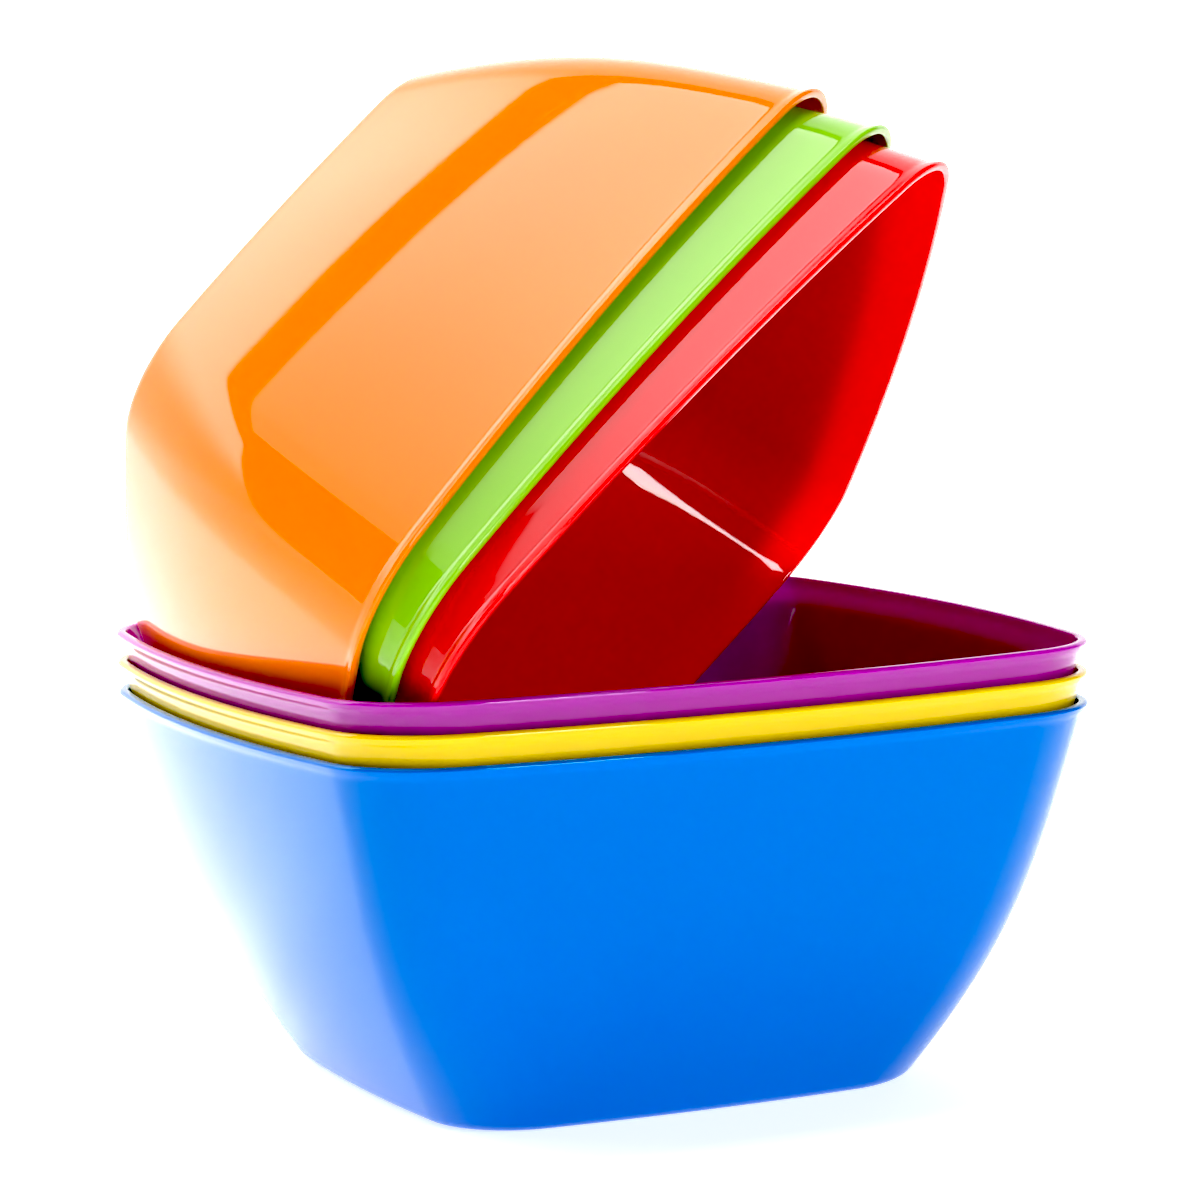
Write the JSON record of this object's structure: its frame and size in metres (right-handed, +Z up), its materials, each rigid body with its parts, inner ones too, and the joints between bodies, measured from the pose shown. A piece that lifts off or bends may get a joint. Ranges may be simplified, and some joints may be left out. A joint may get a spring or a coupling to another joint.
{
  "type": "hair color bowl",
  "caption": "Square nesting bowls for mixing hair colour, one group upright and one group tipped on a corner into the top bowl.",
  "frame": {"origin": "centre of the blue bowl's underside, on the floor", "axes": "+Z up out of the upright bowls; X and Y square to their sides; the tipped bowls open towards +X and -Y"},
  "size_m": [0.1605, 0.1605, 0.1816],
  "materials": {
    "blue_plastic": "high gloss moulded plastic",
    "yellow_plastic": "high gloss moulded plastic",
    "purple_plastic": "high gloss moulded plastic",
    "red_plastic": "high gloss moulded plastic",
    "green_plastic": "high gloss moulded plastic",
    "orange_plastic": "high gloss moulded plastic"
  },
  "bodies": {
    "blue": {"blue_bowl": "blue_plastic"},
    "yellow": {"yellow_bowl": "yellow_plastic"},
    "purple": {"purple_bowl": "purple_plastic"},
    "red": {"red_bowl": "red_plastic"},
    "green": {"green_bowl": "green_plastic"},
    "orange": {"orange_bowl": "orange_plastic"}
  },
  "joints": [
    {"name": "yellow_lift", "type": "slide", "parent": "blue", "child": "yellow", "axis": [0, 0, 1], "range_m": [0, 0.08]},
    {"name": "purple_lift", "type": "slide", "parent": "yellow", "child": "purple", "axis": [0, 0, 1], "range_m": [0, 0.08]},
    {"name": "red_lift", "type": "slide", "parent": "purple", "child": "red", "axis": [0, 0, 1], "range_m": [0, 0.16]},
    {"name": "green_off", "type": "slide", "parent": "red", "child": "green", "axis": [-0.5917, 0.5917, 0.5476], "range_m": [0, 0.08]},
    {"name": "orange_off", "type": "slide", "parent": "green", "child": "orange", "axis": [-0.6118, 0.6118, 0.5015], "range_m": [0, 0.08]}
  ],
  "couplings": [
    {"joint": "green_off", "follows": "red_lift", "ratio": 0.5},
    {"joint": "orange_off", "follows": "red_lift", "ratio": 0.5}
  ]
}
